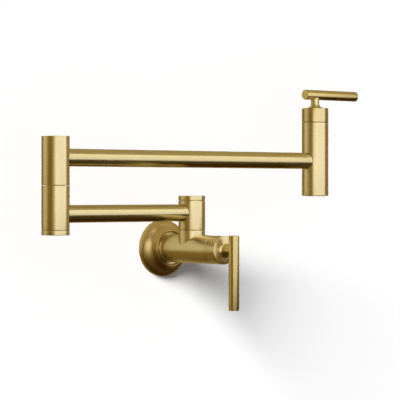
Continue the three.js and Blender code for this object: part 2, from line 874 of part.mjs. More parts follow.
// Measured from the axis of the outer arm upwards.
function outletColumn() {
  const foot = -columnBelowPort;
  const top = seatToSeam - seatBelowArm - gap / 2;
  const turned = revolve(
    [
      [0, foot],
      [housingRadius - edgeBevel, foot],
      [housingRadius, foot + edgeBevel],
      [housingRadius, top - edgeBevel],
      [housingRadius - edgeBevel, top],
      [0, top],
    ],
    fineFacets,
  );
  const aeratorRoom = aeratorHeight + aeratorWasherThickness + gap * 2;
  const aeratorSeat = rod(
    boreRadius(aeratorThreadDiameter / 2 + gap, mediumFacets),
    foot - gap,
    foot + aeratorRoom,
    mediumFacets,
  );
  const waterwayLength = columnBelowPort - seatBelowArm - aeratorRoom / 2;
  const chamber = valveChamber(waterwayLength).translate(0, 0, -seatBelowArm);
  return cut(turned, chamber, aeratorSeat, armSocket(housingRadius, outletPortDiameter / 2, -1));
}

// ---------------------------------------------------------------------------------------------
// Aerator, measured from the foot of the column upwards
// ---------------------------------------------------------------------------------------------

function aeratorHousing() {
  const lipTop = aeratorLipHeight - aeratorProud;
  const bore = boreRadius(aeratorBore / 2, mediumFacets);
  return revolve(
    [
      [aeratorLipBore / 2, -aeratorProud],
      [aeratorThreadDiameter / 2, -aeratorProud],
      [aeratorThreadDiameter / 2, aeratorHeight],
      [bore, aeratorHeight],
      [bore, lipTop],
      [aeratorLipBore / 2, lipTop],
    ],
    mediumFacets,
  );
}

// The flow straightener: a round block with a square grid of through holes.
function aeratorInsert() {
  const radius = aeratorBore / 2 - gap;
  const from = aeratorLipHeight - aeratorProud + gap;
  const reach = radius - insertHoleSize;
  const count = Math.floor(reach / insertHolePitch);
  const holes = [];
  for (let column = -count; column <= count; column += 1) {
    for (let row = -count; row <= count; row += 1) {
      const [x, y] = [column * insertHolePitch, row * insertHolePitch];
      const hole = box(insertHoleSize, insertHoleSize, insertHeight * 2);
      if (Math.hypot(x, y) < reach) holes.push(hole.translate(x, y, from + insertHeight / 2));
    }
  }
  return cut(rod(radius, from, from + insertHeight, mediumFacets), ...holes);
}

function aeratorWasher() {
  const from = aeratorHeight + gap;
  const outer = aeratorThreadDiameter / 2;
  return ring(aeratorWasherBore / 2, outer, from, from + aeratorWasherThickness, coarseFacets);
}

// ---------------------------------------------------------------------------------------------
// Assembly
// ---------------------------------------------------------------------------------------------

const potFiller = new THREE.Group();

// The wall body, with its own z pointing away from the wall.
const wallSide = frameAt(potFiller, 0, 0, 0);
wallSide.rotation.x = Math.PI / 2;
place(wallSide, "wall_flange", wallFlange(), satinBrass);
place(wallSide, "wall_gasket", wallGasket(), rubber);
place(wallSide, "flange_o_ring", flangeRing(), rubber);
place(wallSide, "valve_body", valveBody(), satinBrass);
placeValve(frameAt(wallSide, 0, 0, seatFromWall), "wall", -Math.PI / 2);

// The post, from its running joint upwards.
const post = frameAt(potFiller, 0, -postFromWall, postStubHeight);
placeSwivel(post, "post", postPortRise, postCapJoint);
place(post, "post_sleeve", swivelSleeve(postPortRise, postCapJoint, -1), satinBrass);
place(post, "post_cap", swivelCap(postCapJoint), satinBrass);

// The elbow's lower half hangs below its running joint, so its own z points down.
const elbow = frameAt(potFiller, -innerArmReach, -postFromWall, elbowJointHeight);
const elbowBelow = frameAt(elbow, 0, 0, 0);
elbowBelow.rotation.x = Math.PI;
placeSwivel(elbowBelow, "elbow", elbowPortDrop, elbowCapJoint);
place(elbowBelow, "elbow_lower_sleeve", swivelSleeve(elbowPortDrop, elbowCapJoint, 1), satinBrass);
place(elbowBelow, "elbow_bottom_cap", swivelCap(elbowCapJoint), satinBrass);
place(elbow, "elbow_upper_sleeve", elbowUpperSleeve(), satinBrass);

// The two arms, from the elbow to the right.
const innerArm = frameAt(potFiller, -innerArmReach, -postFromWall, innerArmHeight);
place(innerArm, "inner_arm_tube", armTube(innerArmReach, sleeveRadius, sleeveRadius), satinBrass);
const outerArm = frameAt(potFiller, -innerArmReach, -postFromWall, outerArmHeight);
place(outerArm, "outer_arm_tube", armTube(outerArmReach, sleeveRadius, housingRadius), satinBrass);

// The outlet: column, valve and aerator.
const outlet = frameAt(outerArm, outerArmReach, 0, 0);
place(outlet, "outlet_column", outletColumn(), satinBrass);
placeValve(frameAt(outlet, 0, 0, -seatBelowArm), "outlet", 0);
const aerator = frameAt(outlet, 0, 0, -columnBelowPort);
place(aerator, "aerator_housing", aeratorHousing(), satinBrass);
place(aerator, "aerator_insert", aeratorInsert(), acetal);
place(aerator, "aerator_washer", aeratorWasher(), rubber);

export default potFiller;
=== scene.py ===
"""A wall mounted pot filler in satin brass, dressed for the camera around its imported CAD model.

Sizes of the part are millimetres and become metres where a mesh or a matrix is made. Sizes of the
stage are metres. Each piece is built round its own z axis, which its brushing follows, and is then
placed in the frame of the CAD model.
"""

import math

import bmesh
import bpy
from mathutils import Matrix, Vector


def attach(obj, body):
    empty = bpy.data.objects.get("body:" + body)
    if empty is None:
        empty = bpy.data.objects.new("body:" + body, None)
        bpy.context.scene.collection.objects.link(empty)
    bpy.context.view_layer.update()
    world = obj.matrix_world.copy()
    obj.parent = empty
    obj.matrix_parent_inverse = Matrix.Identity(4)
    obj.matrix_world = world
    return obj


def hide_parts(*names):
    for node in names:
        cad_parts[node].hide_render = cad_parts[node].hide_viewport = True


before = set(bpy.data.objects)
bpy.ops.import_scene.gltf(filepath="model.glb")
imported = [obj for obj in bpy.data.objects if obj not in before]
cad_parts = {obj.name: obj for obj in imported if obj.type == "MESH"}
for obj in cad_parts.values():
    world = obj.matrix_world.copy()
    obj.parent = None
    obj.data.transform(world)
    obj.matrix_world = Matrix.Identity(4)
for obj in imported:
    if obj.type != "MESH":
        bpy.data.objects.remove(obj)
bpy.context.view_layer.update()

MM = 0.001

# ---------------------------------------------------------------------------------------------
# Sizes of the CAD model; round sizes are radii
# ---------------------------------------------------------------------------------------------

POST_FROM_WALL = 56.2
SEAM_FROM_WALL = 96.9  # where the valve body ends and the wall handle begins
INNER_REACH = 186
OUTER_REACH = 374.4

# Heights above the axis of the valve body: the running joints and the two arms
POST_JOINT = 21.4
INNER_ARM = 40.8
ELBOW_JOINT = 71.2
OUTER_ARM = 101.0

# From a running joint to the port of an arm, and from there to the cap's joint or to the top
POST_PORT = INNER_ARM - POST_JOINT
ELBOW_PORT = ELBOW_JOINT - INNER_ARM
UPPER_PORT = OUTER_ARM - ELBOW_JOINT
PORT_TO_POST_CAP = 13.85
PORT_TO_ELBOW_CAP = 17.2
PORT_TO_ELBOW_TOP = 22.6
POST_CAP_JOINT = POST_PORT + PORT_TO_POST_CAP
ELBOW_CAP_JOINT = ELBOW_PORT + PORT_TO_ELBOW_CAP
ELBOW_TOP = UPPER_PORT + PORT_TO_ELBOW_TOP

# Heights from the axis of the outer arm
COLUMN_FOOT = -41.4
COLUMN_TOP = 45.7

SLEEVE = 15.0  # post and elbow
HOUSING = 15.75  # valve body, hubs and outlet column
TUBE = 9.525
TUBE_BORE = 8.425
TUBE_SEAT = 1.7  # how deep a column's seat for a tube is
GAP = 0.3  # seams and clearances
EDGE = 0.5  # fillets
FINE_EDGE = 0.3

# Swivels
SPIGOT_BORE = 11.0
WASHER_RECESS = 13.45
WASHER_THICK = 0.9
SHOULDER = 2.8  # cap joint back to the retaining nut's shoulder
CAP_SEAT = 13.75
CAP_THREAD = 13.4
CAP_BORE = 12.4
CAP_HOLLOW = 4.6
CAP_HEIGHT = 5.3
SOCKET = 9.85
SOCKET_DEPTH = 8
SPIGOT_PASSAGE = 6
PASSAGE_FOOT = 1
UPPER_BORE = 8
UPPER_BORE_TOP = 36.8

# Chamber of a valve
WATERWAY = 5.2
CHAMBER = 9.65
CHAMBER_DEPTH = 22
BONNET = 13.05
SEAT_TO_SEAM = 51.3

# Handles
HUB_HEIGHT = 17.5
HUB_CROWN = 0.8  # how far the hub's face falls towards its edge
HUB_BORE = 12.55
HUB_RECESS = 4.8
HUB_BOSS = 8
BOSS_FOOT = 1.2
SPLINE_BORE = 4.6
SPLINE_DEPTH = 8.9
NECK = 4.9
FLARE = 4.7
BAR = 5.85
BAR_HEIGHT = 32.7
BAR_SHORT = 16.3
BAR_LONG = 65.7
SCREW = 2.0
SCREW_HEIGHT = 7.4
SCREW_FROM, SCREW_TO = 4.5, 10.5
SCREW_HOLE_FROM, SCREW_HOLE_TO = 5, 20
KEY = 1.1
KEY_DEPTH = 2

# Flange and gasket, with depths from the wall
FLANGE = 32.15
RIM_DEPTH = 5.4
COLLAR = 20.9
COLLAR_DEPTH = 19.4
COLLAR_FLOOR = 15.9
LIP = 0.6
CAVITY = 26.15
CAVITY_DEPTH = 9.2  # at the bore
CAVITY_EDGE_DEPTH = 4.8
BACK_LAND = 29.35
STEP_DEPTH = 1.5
GASKET_BORE = 26.45
GASKET = 29.05
GASKET_THICK = 1.2
GASKET_EDGE = 0.2

# Inlet
INLET_FACE = 1.5
INLET_DEPTH = 15
INLET_BORE = 9.5
INLET_END = 9.05
THREAD_PITCH = 1.814
THREAD_DEPTH = 1.05

# Aerator, with heights from the foot of the column
AERATOR_SEAT = 12.2
AERATOR_SEAT_TOP = 13.6
AERATOR = 11.9
AERATOR_BORE = 10.1
AERATOR_MOUTH = 9.2
AERATOR_FOOT = -0.5
AERATOR_LEDGE = 0.7
AERATOR_TOP = 11

ROUND = 144  # facets round a full turn
FINE_ROUND = 192
COARSE_ROUND = 48
HEXAGON = 6
ARC = 8  # facets of a rounded corner
CURVE_STEPS = 14
FLARE_STEPS = 20
THREAD_FACETS = 72
ROWS_PER_PITCH = 8
OVERLAP = 1  # how far a cutting tool stands out of what it cuts
SHARP = math.radians(15)

# ---------------------------------------------------------------------------------------------
# Meshes
# ---------------------------------------------------------------------------------------------


def mesh_object(name, points, faces):
    """A closed mesh from points in millimetres, with its faces turned outwards."""
    mesh = bpy.data.meshes.new(name)
    mesh.from_pydata([Vector(point) * MM for point in points], [], faces)
    shell = bmesh.new()
    shell.from_mesh(mesh)
    bmesh.ops.recalc_face_normals(shell, faces=shell.faces)
    shell.to_mesh(mesh)
    shell.free()
    piece = bpy.data.objects.new(name, mesh)
    bpy.context.scene.collection.objects.link(piece)
    return piece


def soften(piece):
    """Smooth shading that keeps the true edges."""
    piece.data.shade_smooth()
    piece.data.set_sharp_from_angle(angle=SHARP)


def rounded(corners):
    """The points of a closed outline of (radius, height, fillet) corners."""
    points = []
    for i, (radius, height, fillet) in enumerate(corners):
        here = Vector((radius, height))
        if not fillet:
            points.append(tuple(here))
            continue
        before = (Vector(corners[i - 1][:2]) - here).normalized()
        after = (Vector(corners[(i + 1) % len(corners)][:2]) - here).normalized()
        half = before.angle(after) / 2
        centre = here + (before + after).normalized() * fillet / math.sin(half)
        arm = here + before * fillet / math.tan(half) - centre
        sweep = math.pi - 2 * half
        if before.x * after.y - before.y * after.x > 0:
            sweep = -sweep
        for k in range(ARC + 1):
            points.append(tuple(centre + Matrix.Rotation(sweep * k / ARC, 2) @ arm))
    return points


def turned(name, outline, segments=ROUND, shape=None):
    """Turns a closed outline of (radius, height) points about z."""
    points, rings = [], []
    for radius, height in outline:
        first = len(points)
        count = segments if radius > 0 else 1
        for k in range(count):
            angle = 2 * math.pi * k / segments
            points.append((radius * math.cos(angle), radius * math.sin(angle), height))
        rings.append([first + k % count for k in range(segments)])
    faces = []
    for low, high in zip(rings, rings[1:] + rings[:1]):
        for k in range(segments):
            after = (k + 1) % segments
            corners = dict.fromkeys((low[k], low[after], high[after], high[k]))
            if len(corners) > 2:
                faces.append(tuple(corners))
    if shape:
        points = [shape(*point) for point in points]
    return mesh_object(name, points, faces)


def combined(piece, operation, *tools):
    """Joins tools to a piece, or cuts them out of it, and removes the tools."""
    for tool in tools:
        step = piece.modifiers.new("step", "BOOLEAN")
        step.operation = operation
        step.solver = "EXACT"
        step.object = tool
    graph = bpy.context.evaluated_depsgraph_get()
    mesh = bpy.data.meshes.new_from_object(piece.evaluated_get(graph))
    piece.modifiers.clear()
    piece.data = mesh
    for tool in tools:
        bpy.data.objects.remove(tool)
    return piece


def moved(piece, matrix):
    piece.data.transform(matrix)
    return piece


def at(x, y, z, turn=None):
    """A place in millimetres, with an optional turn about it."""
    place = Matrix.Translation(Vector((x, y, z)) * MM)
    return place @ turn if turn else place


def about(axis, degrees):
    return Matrix.Rotation(math.radians(degrees), 4, axis)


def tube(name, reach, start, end, radius=TUBE, bore=TUBE_BORE):
    """A tube along z, solid where its bore is 0.

    Its ends follow round columns that lie along x at 0 and at its reach, of the radii start and
    end; an end of radius 0 is flat.
    """

    def ring(size, column, height, side):
        for k in range(ROUND):
            angle = 2 * math.pi * k / ROUND
            x, y = size * math.cos(angle), size * math.sin(angle)
            depth = math.sqrt(column ** 2 - y * y) if column else 0
            yield x, y, height + side * depth

    # Radius and height of the column at either end, and the way from it into the tube
    near, far = (start, 0, 1), (end, reach, -1)
    circles = (radius, near), (radius, far), (bore, far), (bore, near)
    loops = [list(ring(size, *side)) for size, side in circles if size]
    points = [point for loop in loops for point in loop]
    faces = []
    closing = range(len(loops)) if bore else [0]
    for i in closing:
        low, high = i * ROUND, (i + 1) % len(loops) * ROUND
        for k in range(ROUND):
            after = (k + 1) % ROUND
            faces.append((low + k, low + after, high + after, high + k))
    if not bore:
        for i, (column, height, side) in enumerate((near, far)):
            points.append((0, 0, height + side * column))
            for k in range(ROUND):
                faces.append((i * ROUND + k, i * ROUND + (k + 1) % ROUND, len(points) - 1))
    return mesh_object(name, points, faces)


def pocket(column, height, side):
    """The tool for the seat of an arm in a column of the given radius, towards x (1) or -x (-1)."""
    tool = tube("pocket", column * 2, column - TUBE_SEAT, 0, TUBE + GAP, 0)
    return moved(tool, at(0, 0, height, about("Y", side * 90)))


# ---------------------------------------------------------------------------------------------
# Materials
# ---------------------------------------------------------------------------------------------


def add(tree, kind, inputs=None, **settings):
    """A new node; an input is a plain value or the socket that feeds it."""
    node = tree.nodes.new(kind)
    for name, value in settings.items():
        setattr(node, name, value)
    for name, value in (inputs or {}).items():
        if isinstance(value, bpy.types.NodeSocket):
            tree.links.new(value, node.inputs[name])
        else:
            node.inputs[name].default_value = value
    return node


def math_node(tree, operation, a, b):
    return add(tree, "ShaderNodeMath", {0: a, 1: b}, operation=operation).outputs[0]


def vector_node(tree, operation, a, b=(0.0, 0.0, 0.0)):
    return add(tree, "ShaderNodeVectorMath", {0: a, 1: b}, operation=operation).outputs[0]


def remap(tree, value, low, high, to_low, to_high, smooth=False):
    inputs = {"Value": value, "From Min": low, "From Max": high, "To Min": to_low, "To Max": to_high}
    kind = "SMOOTHSTEP" if smooth else "LINEAR"
    return add(tree, "ShaderNodeMapRange", inputs, interpolation_type=kind).outputs[0]


def noise(tree, vector, scale, detail):
    inputs = {"Vector": vector, "Scale": scale, "Detail": detail}
    return add(tree, "ShaderNodeTexNoise", inputs).outputs[0]


def blend(tree, first, second, share):
    """A sum with the given share of the first and the rest of the second."""
    return math_node(tree, "ADD", math_node(tree, "MULTIPLY", first, share),
                     math_node(tree, "MULTIPLY", second, 1 - share))


def tones(tree, factor, dark, light):
    inputs = {0: factor, 6: (*dark, 1), 7: (*light, 1)}
    return add(tree, "ShaderNodeMix", inputs, data_type="RGBA").outputs[2]


def new_material(name):
    material = bpy.data.materials.new(name)
    material.use_nodes = True
    tree = material.node_tree
    return material, tree, tree.nodes["Principled BSDF"]


LINES, CLOUDS, SMEARS = 2600, 38, 140  # noise scales of the brushing, per metre
LINE_DETAIL, CLOUD_DETAIL, SMEAR_DETAIL, PLAIN_DETAIL = 3.0, 3.0, 2.0, 4.0
STREAK = 60  # how many times longer than wide the lines of a belt are
MIDDLE = (0.3, 0.7)  # the part of a noise's range that is spread over a finish
LINE_SHARE_OF_TONE = 0.6
LINE_SHARE_OF_ROUGHNESS = 0.5
BRUSHED_BUMP, PLAIN_BUMP = 0.35, 0.3
QUARTER_TURN = 0.25


def lathe_lines(tree, spot):
    """Fine lines round the piece's z axis, on its sides and on its faces."""
    flat = vector_node(tree, "MULTIPLY", spot, (1, 1, 0))
    length = add(tree, "ShaderNodeVectorMath", {0: flat}, operation="LENGTH").outputs["Value"]
    heading = vector_node(tree, "NORMALIZE", flat)
    height = add(tree, "ShaderNodeSeparateXYZ", {0: spot}).outputs["Z"]
    across = math_node(tree, "MULTIPLY", math_node(tree, "ADD", length, height), LINES)
    along = add(tree, "ShaderNodeCombineXYZ", {"Z": across}).outputs[0]
    return noise(tree, vector_node(tree, "ADD", heading, along), 1.0, LINE_DETAIL)


def belt_lines(tree, spot):
    """Fine lines along the piece's z axis."""
    stretched = vector_node(tree, "MULTIPLY", spot, (LINES, LINES, LINES / STREAK))
    return noise(tree, stretched, 1.0, LINE_DETAIL)


def brushed_metal(name, colours, rough, lines, depth, anisotropy, turn):
    material, tree, shader = new_material(name)
    spot = add(tree, "ShaderNodeTexCoord").outputs["Object"]
    grain = lines(tree, spot)
    cloud = noise(tree, spot, CLOUDS, CLOUD_DETAIL)
    smear = noise(tree, spot, SMEARS, SMEAR_DETAIL)
    shade = blend(tree, grain, cloud, LINE_SHARE_OF_TONE)
    colour = tones(tree, remap(tree, shade, *MIDDLE, 0, 1), *colours)
    tree.links.new(colour, shader.inputs["Base Color"])
    uneven = blend(tree, grain, smear, LINE_SHARE_OF_ROUGHNESS)
    tree.links.new(remap(tree, uneven, *MIDDLE, *rough), shader.inputs["Roughness"])
    bump = add(tree, "ShaderNodeBump",
               {"Strength": BRUSHED_BUMP, "Distance": depth, "Height": grain})
    tree.links.new(bump.outputs[0], shader.inputs["Normal"])
    tangent = add(tree, "ShaderNodeTangent", direction_type="RADIAL", axis="Z")
    tree.links.new(tangent.outputs[0], shader.inputs["Tangent"])
    shader.inputs["Metallic"].default_value = 1.0
    shader.inputs["Anisotropic"].default_value = anisotropy
    shader.inputs["Anisotropic Rotation"].default_value = turn
    return material


def plain_finish(name, colours, rough, scale, depth, metallic=0.0):
    material, tree, shader = new_material(name)
    spot = add(tree, "ShaderNodeTexCoord").outputs["Object"]
    grain = noise(tree, spot, scale, PLAIN_DETAIL)
    tree.links.new(tones(tree, remap(tree, grain, *MIDDLE, 0, 1), *colours),
                   shader.inputs["Base Color"])
    tree.links.new(remap(tree, grain, *MIDDLE, *rough), shader.inputs["Roughness"])
    bump = add(tree, "ShaderNodeBump", {"Strength": PLAIN_BUMP, "Distance": depth, "Height": grain})
    tree.links.new(bump.outputs[0], shader.inputs["Normal"])
    shader.inputs["Metallic"].default_value = metallic
    return material


# The dark and the light tone of each finish
SATIN_TONES = (0.78, 0.685, 0.4), (0.84, 0.745, 0.455)
# Painted shade: the flange, hub, bar and tube tones darken and warm the same satin brass
FLANGE_SHADED_TONES = (0.72, 0.57, 0.27), (0.78, 0.63, 0.31)
HUB_SHADED_TONES = (0.73, 0.62, 0.33), (0.785, 0.675, 0.375)
BAR_SHADED_TONES = (0.67, 0.56, 0.25), (0.72, 0.61, 0.29)
TUBE_SHADED_TONES = (0.66, 0.58, 0.315), (0.71, 0.63, 0.36)
PLAIN_BRASS_TONES = (0.62, 0.47, 0.22), (0.76, 0.62, 0.34)
RUBBER_TONES = (0.012, 0.012, 0.013), (0.03, 0.03, 0.032)
ACETAL_TONES = (0.8, 0.79, 0.75), (0.88, 0.87, 0.84)
CERAMIC_TONES = (0.86, 0.84, 0.8), (0.92, 0.91, 0.88)
STEEL_TONES = (0.5, 0.51, 0.52), (0.62, 0.63, 0.64)

LATHE_ROUGH, FLANGE_ROUGH, TUBE_ROUGH = (0.25, 0.32), (0.33, 0.4), (0.22, 0.27)
LATHE_DEPTH, BELT_DEPTH = 0.000008, 0.000003
LATHE_ANISOTROPY, FLANGE_ANISOTROPY, TUBE_ANISOTROPY = 0.45, 0.3, 0.2


def lathe_finish(name, colours, rough=LATHE_ROUGH, anisotropy=LATHE_ANISOTROPY):
    return brushed_metal(name, colours, rough, lathe_lines, LATHE_DEPTH, anisotropy, QUARTER_TURN)


lathe_satin = lathe_finish("satin_brass", SATIN_TONES)
# Copies of the satin brass in the painted shade of the flange, hubs, bars and tubes
flange_satin_painted_shade = lathe_finish("satin_brass_flange_painted_shade", FLANGE_SHADED_TONES, FLANGE_ROUGH, FLANGE_ANISOTROPY)
hub_satin_painted_shade = lathe_finish("satin_brass_hub_painted_shade", HUB_SHADED_TONES)
bar_satin_painted_shade = lathe_finish("satin_brass_bar_painted_shade", BAR_SHADED_TONES)
belt_satin_painted_shade = brushed_metal("satin_brass_tube_painted_shade", TUBE_SHADED_TONES, TUBE_ROUGH, belt_lines, BELT_DEPTH,
                           TUBE_ANISOTROPY, 0.0)

finishes = {
    "satin_brass": lathe_satin,
    "plain_brass": plain_finish("plain_brass", PLAIN_BRASS_TONES, rough=(0.3, 0.45), scale=900,
                                depth=0.00002, metallic=1.0),
    "rubber": plain_finish("rubber", RUBBER_TONES, rough=(0.65, 0.85), scale=1500, depth=0.00005),
    "acetal": plain_finish("acetal", ACETAL_TONES, rough=(0.4, 0.52), scale=700, depth=0.00003),
    "ceramic": plain_finish("ceramic", CERAMIC_TONES, rough=(0.15, 0.25), scale=1200, depth=0.00001),
    "steel": plain_finish("steel", STEEL_TONES, rough=(0.25, 0.4), scale=1800, depth=0.00001,
                          metallic=1.0),
}

# ---------------------------------------------------------------------------------------------
# Where each part stands
# ---------------------------------------------------------------------------------------------

wall_side = about("X", 90)
post = at(0, -POST_FROM_WALL, POST_JOINT)
elbow = at(-INNER_REACH, -POST_FROM_WALL, ELBOW_JOINT)
elbow_below = elbow @ about("X", 180)
outlet = at(OUTER_REACH - INNER_REACH, -POST_FROM_WALL, OUTER_ARM)
wall_handle = wall_side @ at(0, 0, SEAM_FROM_WALL, about("Z", -90))
outlet_handle = outlet @ at(0, 0, COLUMN_TOP)

fixed_pieces = []  # the outer pieces that never move; only they block the key lamp


def dress(piece, place, body, *nodes, slot="satin_brass", material=None):
    """Places a piece, gives it its finish and lets it stand for its CAD nodes."""
    soften(piece)
    piece.data.materials.clear()
    piece.data.materials.append(material or finishes[slot])
    piece.matrix_world = place
    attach(piece, body)
    if body == "wall_body":
        fixed_pieces.append(piece)
    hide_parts(*nodes)
    return piece


# ---------------------------------------------------------------------------------------------
# Swivels
# ---------------------------------------------------------------------------------------------


def swivel_sleeve(name, port, cap_joint, side):
    foot = GAP / 2
    top = cap_joint - GAP / 2
    shoulder = cap_joint - SHOULDER
    recess = 2 * GAP + WASHER_THICK
    outline = rounded([
        (WASHER_RECESS, foot, 0), (SLEEVE, foot, EDGE), (SLEEVE, top, EDGE), (CAP_SEAT, top, 0),
        (CAP_SEAT, shoulder, 0), (SPIGOT_BORE, shoulder, 0), (SPIGOT_BORE, recess, 0),
        (WASHER_RECESS, recess, 0),
    ])
    return combined(turned(name, outline), "DIFFERENCE", pocket(SLEEVE, port, side))


def swivel_cap(name, cap_joint):
    foot = cap_joint + GAP / 2
    top = cap_joint + CAP_HEIGHT
    skirt = cap_joint - SHOULDER + GAP
    ceiling = skirt + CAP_HOLLOW
    return turned(name, rounded([
        (CAP_BORE, skirt, 0), (CAP_THREAD, skirt, 0), (CAP_THREAD, foot, 0), (SLEEVE, foot, EDGE),
        (SLEEVE, top, EDGE), (0, top, 0), (0, ceiling, 0), (CAP_BORE, ceiling, 0),
    ]))


dress(swivel_sleeve("post_sleeve_skin", POST_PORT, POST_CAP_JOINT, -1), post, "inner_arm",
      "post_sleeve")
dress(swivel_cap("post_cap_skin", POST_CAP_JOINT), post, "inner_arm", "post_cap")
dress(swivel_sleeve("elbow_lower_skin", ELBOW_PORT, ELBOW_CAP_JOINT, 1), elbow_below, "inner_arm",
      "elbow_lower_sleeve")
dress(swivel_cap("elbow_cap_skin", ELBOW_CAP_JOINT), elbow_below, "inner_arm", "elbow_bottom_cap")

upper = turned("elbow_upper_skin", rounded([
    (SOCKET, GAP / 2, 0), (SLEEVE, GAP / 2, EDGE), (SLEEVE, ELBOW_TOP, EDGE), (0, ELBOW_TOP, 0),
    (0, UPPER_BORE_TOP, 0), (UPPER_BORE, UPPER_BORE_TOP, 0), (UPPER_BORE, SOCKET_DEPTH, 0),
    (SOCKET, SOCKET_DEPTH, 0),
]))
dress(combined(upper, "DIFFERENCE", pocket(SLEEVE, UPPER_PORT, 1)), elbow, "outer_arm",
      "elbow_upper_sleeve")

# ---------------------------------------------------------------------------------------------
# Arms
# ---------------------------------------------------------------------------------------------

TUBE_END = GAP - TUBE_SEAT  # from a column's face to the end of a tube in it

dress(tube("inner_tube_skin", INNER_REACH, SLEEVE + TUBE_END, SLEEVE + TUBE_END),
      at(-INNER_REACH, -POST_FROM_WALL, INNER_ARM, about("Y", 90)), "inner_arm", "inner_arm_tube",
      material=belt_satin_painted_shade)
dress(tube("outer_tube_skin", OUTER_REACH, SLEEVE + TUBE_END, HOUSING + TUBE_END),
      at(-INNER_REACH, -POST_FROM_WALL, OUTER_ARM, about("Y", 90)), "outer_arm", "outer_arm_tube",
      material=belt_satin_painted_shade)

# ---------------------------------------------------------------------------------------------
# Wall flange and valve body
# ---------------------------------------------------------------------------------------------


def curve(start, control, end):
    """Points of a quadratic curve after its start."""
    points = []
    for k in range(1, CURVE_STEPS + 1):
        t = k / CURVE_STEPS
        points.append(tuple((1 - t) ** 2 * a + 2 * t * (1 - t) * b + t * t * c
                            for a, b, c in zip(start, control, end)))
    return points


# The face of the flange from its rim to its bore: (radius, depth) of each curve's control and end
FLANGE_CURVES = (
    ((31.1, 8.0), (27.9, 10.2)),  # shoulder
    ((23.9, 12.3), (22.9, 14.6)),  # hollow
    ((22.1, 16.4), (COLLAR + FINE_EDGE, 18.2)),  # foot of the collar
    ((COLLAR, COLLAR_DEPTH - 1.5 * LIP), (COLLAR, COLLAR_DEPTH - LIP)),
    ((COLLAR, COLLAR_DEPTH), (COLLAR - LIP, COLLAR_DEPTH)),
    ((COLLAR - 2 * LIP, COLLAR_DEPTH), (COLLAR - 2 * LIP, COLLAR_DEPTH - LIP)),
    ((COLLAR - 2 * LIP, COLLAR_FLOOR), (HOUSING + GAP, COLLAR_FLOOR)),  # bowl inside the collar
)

flange_outline = [
    (FLANGE - FINE_EDGE, 0), (FLANGE, FINE_EDGE), (FLANGE, RIM_DEPTH - FINE_EDGE),
    (FLANGE - FINE_EDGE / 2, RIM_DEPTH),
]
for control, end in FLANGE_CURVES:
    flange_outline += curve(flange_outline[-1], control, end)
flange_outline += [
    (HOUSING + GAP, CAVITY_DEPTH), (CAVITY, CAVITY_EDGE_DEPTH), (CAVITY, STEP_DEPTH),
    (BACK_LAND, STEP_DEPTH), (BACK_LAND, 0),
]
dress(turned("flange_skin", flange_outline, FINE_ROUND), wall_side, "wall_body", "wall_flange",
      material=flange_satin_painted_shade)

gasket = turned("gasket_skin", rounded([
    (GASKET_BORE, 0, 0), (GASKET, 0, 0), (GASKET, GASKET_THICK, GASKET_EDGE),
    (GASKET_BORE, GASKET_THICK, GASKET_EDGE),
]))
dress(gasket, wall_side, "wall_body", "wall_gasket", slot="rubber")


def pipe_thread():
    """The tool for the tapered thread of the inlet: a screw-shaped plug along z."""
    rows = int(INLET_DEPTH / THREAD_PITCH * ROWS_PER_PITCH)
    facets = THREAD_FACETS
    points, faces = [], []
    for row in range(rows + 1):
        height = INLET_DEPTH * row / rows
        base = INLET_BORE + (INLET_END - INLET_BORE) * row / rows
        for k in range(facets):
            turn = (height / THREAD_PITCH - k / facets) % 1
            radius = base + THREAD_DEPTH * (1 - abs(2 * turn - 1))
            angle = 2 * math.pi * k / facets
            points.append((radius * math.cos(angle), radius * math.sin(angle), height - GAP))
    for row in range(rows):
        low = row * facets
        for k in range(facets):
            after = (k + 1) % facets
            faces.append((low + k, low + after, low + facets + after, low + facets + k))
    for ring, height in ((0, -GAP), (rows * facets, INLET_DEPTH - GAP)):
        points.append((0, 0, height))
        for k in range(facets):
            faces.append((ring + k, ring + (k + 1) % facets, len(points) - 1))
    return moved(mesh_object("thread", points, faces), at(0, 0, INLET_FACE))


def valve_body():
    """The barrel along z with the stub of the post, its waterway, its chamber and its inlet."""
    face = SEAM_FROM_WALL - GAP / 2
    seat = SEAM_FROM_WALL - SEAT_TO_SEAM
    bonnet_foot = seat + CHAMBER_DEPTH
    waterway_foot = INLET_FACE + INLET_DEPTH - 2 * OVERLAP
    stub_top = POST_JOINT - GAP / 2
    socket_foot = POST_JOINT - SOCKET_DEPTH
    upright = at(0, 0, POST_FROM_WALL, about("X", -90))
    barrel = turned("barrel_skin", rounded([
        (0, INLET_FACE, 0), (HOUSING, INLET_FACE, FINE_EDGE), (HOUSING, face, EDGE), (0, face, 0),
    ]))
    stub = turned("stub", rounded([
        (0, 0, 0), (SLEEVE, 0, 0), (SLEEVE, stub_top, EDGE), (0, stub_top, 0),
    ]))
    room = turned("room", [
        (0, waterway_foot), (WATERWAY, waterway_foot), (WATERWAY, seat), (CHAMBER, seat),
        (CHAMBER, bonnet_foot), (BONNET, bonnet_foot), (BONNET, face + OVERLAP),
        (0, face + OVERLAP),
    ])
    socket = turned("socket", [
        (0, POST_JOINT + OVERLAP), (SOCKET, POST_JOINT + OVERLAP), (SOCKET, socket_foot),
        (SPIGOT_PASSAGE, socket_foot), (SPIGOT_PASSAGE, PASSAGE_FOOT), (0, PASSAGE_FOOT),
    ])
    whole = combined(barrel, "UNION", moved(stub, upright))
    return combined(whole, "DIFFERENCE", room, moved(socket, upright), pipe_thread())


body = dress(valve_body(), wall_side, "wall_body", "valve_body")
# The brushing's radial tangent turns about the middle of this box, so it is even round the barrel.
body.data.use_auto_texspace = False
body.data.texspace_location = (0, 0, SEAM_FROM_WALL / 2 * MM)
body.data.texspace_size = (POST_JOINT * MM, POST_JOINT * MM, SEAM_FROM_WALL / 2 * MM)

# ---------------------------------------------------------------------------------------------
# Handles
# ---------------------------------------------------------------------------------------------


def neck_saddle(x, y, z):
    """Lowers the top of the neck onto the round of the bar, which lies along x."""
    if z < BAR_HEIGHT:
        return x, y, z
    return x, y, BAR_HEIGHT - math.sqrt(BAR * BAR - y * y)


